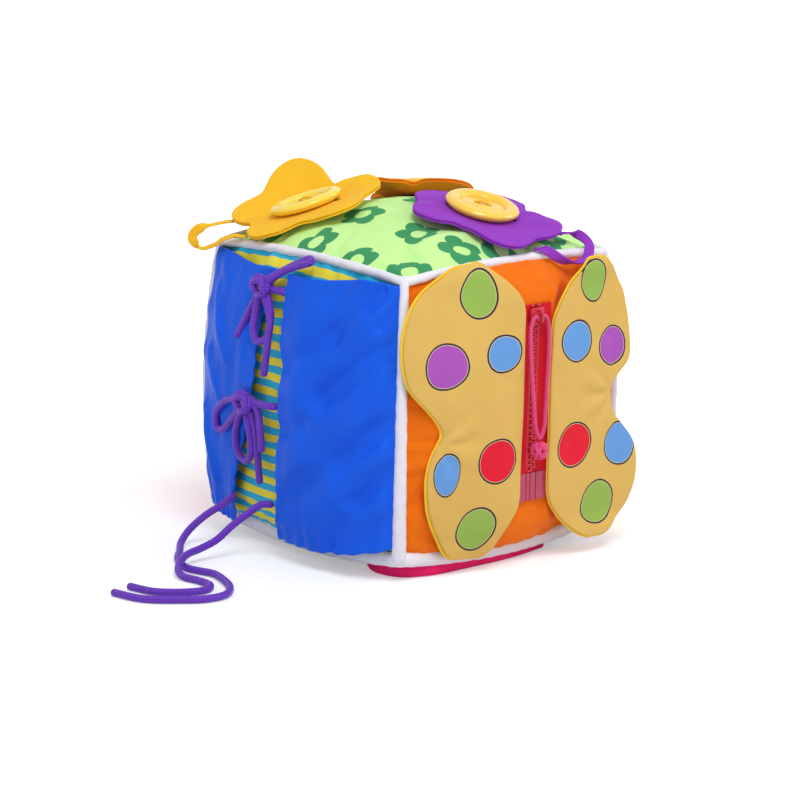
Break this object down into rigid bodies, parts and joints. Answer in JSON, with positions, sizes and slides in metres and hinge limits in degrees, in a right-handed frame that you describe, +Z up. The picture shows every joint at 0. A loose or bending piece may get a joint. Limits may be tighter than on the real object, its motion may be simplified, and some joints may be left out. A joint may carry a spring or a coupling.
{
  "type": "soft fabric activity block",
  "caption": "Stuffed cloth cube with piped seams, a zip between two padded wings, tied cloth curtains and buttoned flowers on top.",
  "frame": {"origin": "middle of the flat patch that the block rests on", "axes": "+Z up, -Y out of the side with the zip, -X out of the side with the curtains"},
  "size_m": [0.2974, 0.1986, 0.1949],
  "materials": {
    "filling": "loose polyester fibre",
    "green_print": "matte printed cotton",
    "white_cloth": "matte woven",
    "orange_cloth": "matte woven",
    "striped_cloth": "matte printed cotton",
    "magenta_cloth": "matte woven",
    "yellow_cloth": "matte woven",
    "blue_cloth": "satin woven",
    "wing_print": "matte printed cotton",
    "purple_cloth": "matte woven",
    "amber_cloth": "matte woven",
    "red_tape": "woven tape",
    "red_plastic": "moulded",
    "film": "thin film",
    "pink_cord": "braided",
    "purple_cord": "braided",
    "button": "glossy",
    "thread": "twisted"
  },
  "bodies": {
    "block": {"stuffing": "filling", "top_panel": "green_print", "bottom_panel": "white_cloth", "zip_panel": "orange_cloth", "striped_panel": "striped_cloth", "back_panel": "magenta_cloth", "side_panel": "yellow_cloth", "top_piping": "white_cloth", "bottom_piping": "white_cloth", "corner_piping_front": "white_cloth", "corner_piping_left": "white_cloth", "corner_piping_right": "white_cloth", "corner_piping_back": "white_cloth", "zip_pocket": "orange_cloth", "zip_tape_left": "red_tape", "zip_tape_right": "red_tape", "zip_teeth_left": "red_plastic", "zip_teeth_right": "red_plastic", "zip_top_stop_left": "red_plastic", "zip_top_stop_right": "red_plastic", "zip_end_film_left": "film", "zip_end_film_right": "film", "zip_pin": "red_plastic", "zip_box": "red_plastic", "yellow_flower_button": "button", "orange_flower_button": "button", "purple_flower_button": "button", "yellow_flower_thread": "thread", "orange_flower_thread": "thread", "purple_flower_thread": "thread", "bottom_strap": "magenta_cloth"},
    "slider": {"zip_slider": "red_plastic"},
    "pull": {"pull_cord": "pink_cord", "pull_knot": "pink_cord"},
    "left_wing": {"left_wing": "wing_print"},
    "right_wing": {"right_wing": "wing_print"},
    "left_curtain": {"left_curtain": "blue_cloth", "upper_bow": "purple_cord", "lower_bow": "purple_cord", "loose_tie_left": "purple_cord"},
    "right_curtain": {"right_curtain": "blue_cloth", "upper_tie_stub": "purple_cord", "lower_tie_stub": "purple_cord", "loose_tie_right": "purple_cord"},
    "yellow_flower": {"yellow_flower": "yellow_cloth", "yellow_tether": "yellow_cloth"},
    "orange_flower": {"orange_flower": "amber_cloth", "orange_tether": "amber_cloth"},
    "purple_flower": {"purple_flower": "purple_cloth", "purple_tether": "purple_cloth"}
  },
  "joints": [
    {"name": "zip_slide", "type": "slide", "parent": "block", "child": "slider", "axis": [0, 0, -1], "range_m": [0, 0.078]},
    {"name": "pull_swing", "type": "hinge", "parent": "slider", "child": "pull", "pos_m": [0, -0.09785, 0.1353], "axis": [-1, 0, 0], "range_deg": [0, 150]},
    {"name": "left_wing_fold", "type": "hinge", "parent": "block", "child": "left_wing", "pos_m": [-0.0089, -0.0945, 0.085], "axis": [0, 0, 1], "range_deg": [0, 88]},
    {"name": "right_wing_fold", "type": "hinge", "parent": "block", "child": "right_wing", "pos_m": [0.0089, -0.0945, 0.085], "axis": [0, 0, -1], "range_deg": [0, 88]},
    {"name": "left_curtain_open", "type": "hinge", "parent": "block", "child": "left_curtain", "pos_m": [-0.0805, 0.074, 0.085], "axis": [0, 0, -1], "range_deg": [0, 100], "deforming": ["loose_tie_left"]},
    {"name": "right_curtain_open", "type": "hinge", "parent": "block", "child": "right_curtain", "pos_m": [-0.0805, -0.074, 0.085], "axis": [0, 0, 1], "range_deg": [0, 100], "deforming": ["loose_tie_right"]},
    {"name": "yellow_flower_lift", "type": "hinge", "parent": "block", "child": "yellow_flower", "pos_m": [-0.077, 0.047, 0.164], "axis": [0, -1, 0], "range_deg": [0, 100], "deforming": ["yellow_flower", "yellow_tether"]},
    {"name": "purple_flower_lift", "type": "hinge", "parent": "block", "child": "purple_flower", "pos_m": [0.016, -0.0758, 0.166], "axis": [1, 0, 0], "range_deg": [0, 100], "deforming": ["purple_flower", "purple_tether"]},
    {"name": "orange_flower_lift", "type": "hinge", "parent": "block", "child": "orange_flower", "pos_m": [0.0769, 0.026, 0.1654], "axis": [0, 1, 0], "range_deg": [0, 100], "deforming": ["orange_flower", "orange_tether"]}
  ]
}
